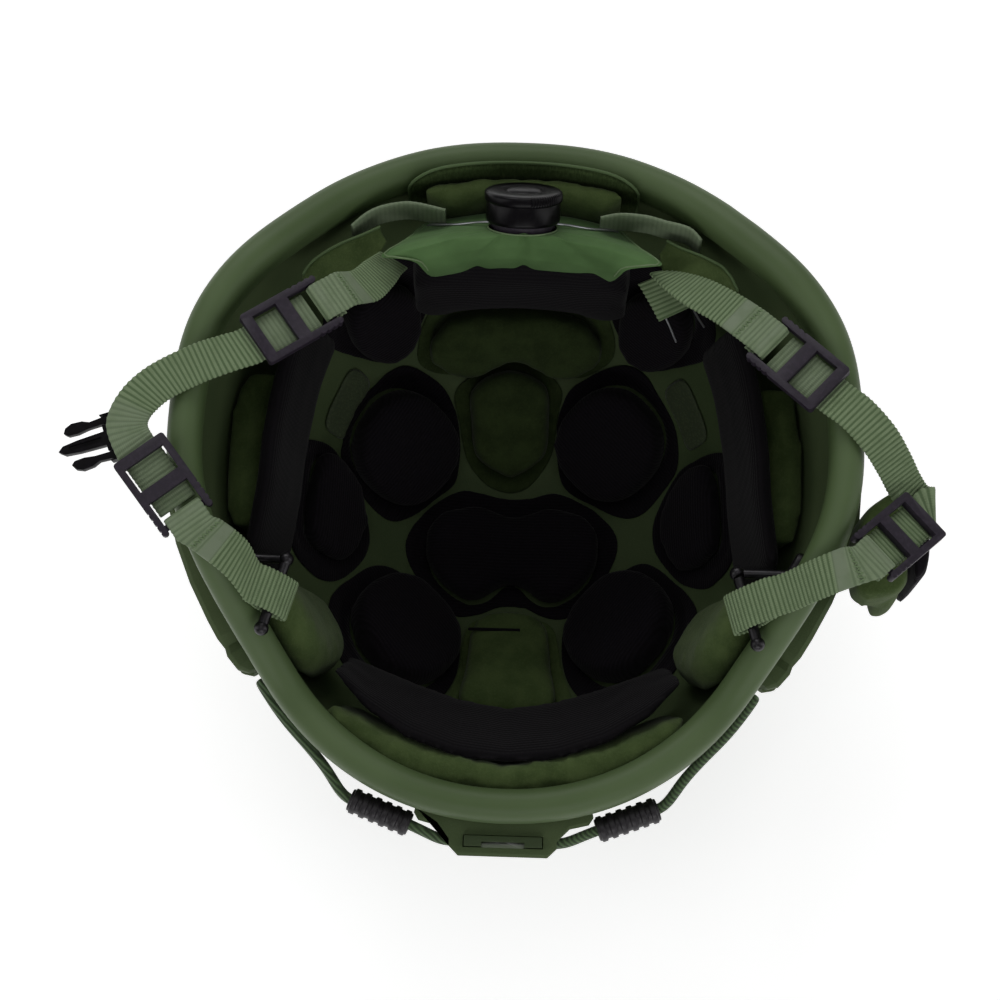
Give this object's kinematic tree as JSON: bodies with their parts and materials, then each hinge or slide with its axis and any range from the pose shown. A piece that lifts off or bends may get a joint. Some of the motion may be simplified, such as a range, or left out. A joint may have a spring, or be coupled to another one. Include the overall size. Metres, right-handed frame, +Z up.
{
  "type": "combat helmet",
  "caption": "Full-cut combat helmet lying on its crown, with padded liner, nape tension dial, side rails, brow mount and adjustable chin straps.",
  "frame": {"origin": "Centre of the bounding box at the lowest point of the crown, which rests on the floor.", "axes": "+X across the helmet, towards the side that carries the chin cup; -Y towards the brow; +Z up, out of the bowl."},
  "size_m": [0.3196, 0.2662, 0.1817],
  "materials": {
    "shell_paint": "matte, fine sand texture",
    "trim_rubber": "smooth, satin",
    "insert_metal": "matte",
    "webbing_green": "woven nylon webbing with cross ribs",
    "grip_rubber": "ribbed, satin",
    "lace_steel": "stranded, bright",
    "anchor_steel": "black, satin",
    "cloth_green": "brushed cloth over foam",
    "mesh_black": "spacer mesh over foam",
    "acetal_black": "moulded, satin"
  },
  "bodies": {
    "helmet": {"shell": "shell_paint", "edge_trim": "trim_rubber", "brow_mount": "shell_paint", "mount_insert": "insert_metal", "rail_left": "shell_paint", "rail_right": "shell_paint", "shock_cord_left": "webbing_green", "shock_cord_right": "webbing_green", "cord_hook_left": "grip_rubber", "cord_hook_right": "grip_rubber", "crown_pad": "mesh_black", "rear_pad_left": "mesh_black", "rear_pad_right": "mesh_black", "front_pad_left": "mesh_black", "front_pad_right": "mesh_black", "shield_pad": "cloth_green", "nape_bean_pad": "cloth_green", "forehead_pad": "cloth_green", "corner_pad_left": "mesh_black", "corner_pad_right": "mesh_black", "side_pad_left": "mesh_black", "side_pad_right": "mesh_black", "hook_tape_left": "webbing_green", "hook_tape_right": "webbing_green", "temple_pad_left": "cloth_green", "temple_pad_right": "cloth_green", "brow_cushion": "cloth_green", "brow_band": "mesh_black", "side_band_left": "mesh_black", "side_band_right": "mesh_black", "side_cushion_left": "cloth_green", "side_cushion_right": "cloth_green", "rear_cushion": "cloth_green", "rear_panel": "cloth_green", "strap_anchor_left": "anchor_steel", "strap_anchor_right": "anchor_steel", "rear_tab_left": "webbing_green", "rear_tab_right": "webbing_green"},
    "nape": {"nape_pad": "mesh_black", "nape_cover": "cloth_green", "dial_base": "acetal_black", "dial_lace": "lace_steel"},
    "knob": {"dial_knob": "acetal_black"},
    "strap_left": {"rear_strap_left": "webbing_green", "rear_slider_left": "acetal_black", "y_strap_left": "webbing_green", "front_slider_left": "acetal_black", "front_strap_left": "webbing_green"},
    "strap_right": {"rear_strap_right": "webbing_green", "rear_slider_right": "acetal_black", "y_strap_right": "webbing_green", "front_slider_right": "acetal_black", "front_strap_right": "webbing_green"},
    "plug": {"buckle_plug": "acetal_black"},
    "prong_front": {"buckle_prong_front": "acetal_black"},
    "prong_rear": {"buckle_prong_rear": "acetal_black"},
    "chin": {"chin_strap": "webbing_green", "buckle_socket": "acetal_black"},
    "cup": {"chin_cup": "cloth_green", "chin_cup_liner": "mesh_black"}
  },
  "joints": [
    {"name": "dial_turn", "type": "hinge", "parent": "nape", "child": "knob", "pos_m": [0.00414, 0.09349, 0.1605], "axis": [0, 0.848, 0.5299], "range_deg": [0, 720]},
    {"name": "nape_slide", "type": "slide", "parent": "helmet", "child": "nape", "axis": [0, -1, 0], "range_m": [0, 0.008]},
    {"name": "strap_left_swing", "type": "hinge", "parent": "helmet", "child": "strap_left", "pos_m": [-0.08186, -0.04471, 0.1495], "axis": [0.2845, 0.9583, -0.0262], "range_deg": [0, 30]},
    {"name": "strap_right_swing", "type": "hinge", "parent": "helmet", "child": "strap_right", "pos_m": [0.09014, -0.04471, 0.1495], "axis": [0.2845, -0.9583, 0.0262], "range_deg": [0, 16]},
    {"name": "plug_tilt", "type": "hinge", "parent": "strap_left", "child": "plug", "pos_m": [-0.13366, 0.00869, 0.1734], "axis": [0.3116, -0.9502, 0], "range_deg": [0, 50]},
    {"name": "prong_front_flex", "type": "hinge", "parent": "plug", "child": "prong_front", "pos_m": [-0.13936, -0.00013, 0.17265], "axis": [-0.087, -0.0285, 0.9958], "range_deg": [-6, 6], "stiffness_Nm_per_rad": 0.5},
    {"name": "prong_rear_flex", "type": "hinge", "parent": "plug", "child": "prong_rear", "pos_m": [-0.14348, 0.01242, 0.17265], "axis": [-0.087, -0.0285, 0.9958], "range_deg": [-6, 6], "stiffness_Nm_per_rad": 0.5},
    {"name": "chin_swing", "type": "hinge", "parent": "strap_right", "child": "chin", "pos_m": [0.15064, -0.00671, 0.1546], "axis": [0, -1, 0], "range_deg": [0, 35]},
    {"name": "cup_slide", "type": "slide", "parent": "chin", "child": "cup", "axis": [0, 0, 1], "range_m": [-0.0015, 0.0015]}
  ],
  "couplings": [
    {"joint": "dial_turn", "follows": "nape_slide", "rad_per_m": 1570.8}
  ]
}
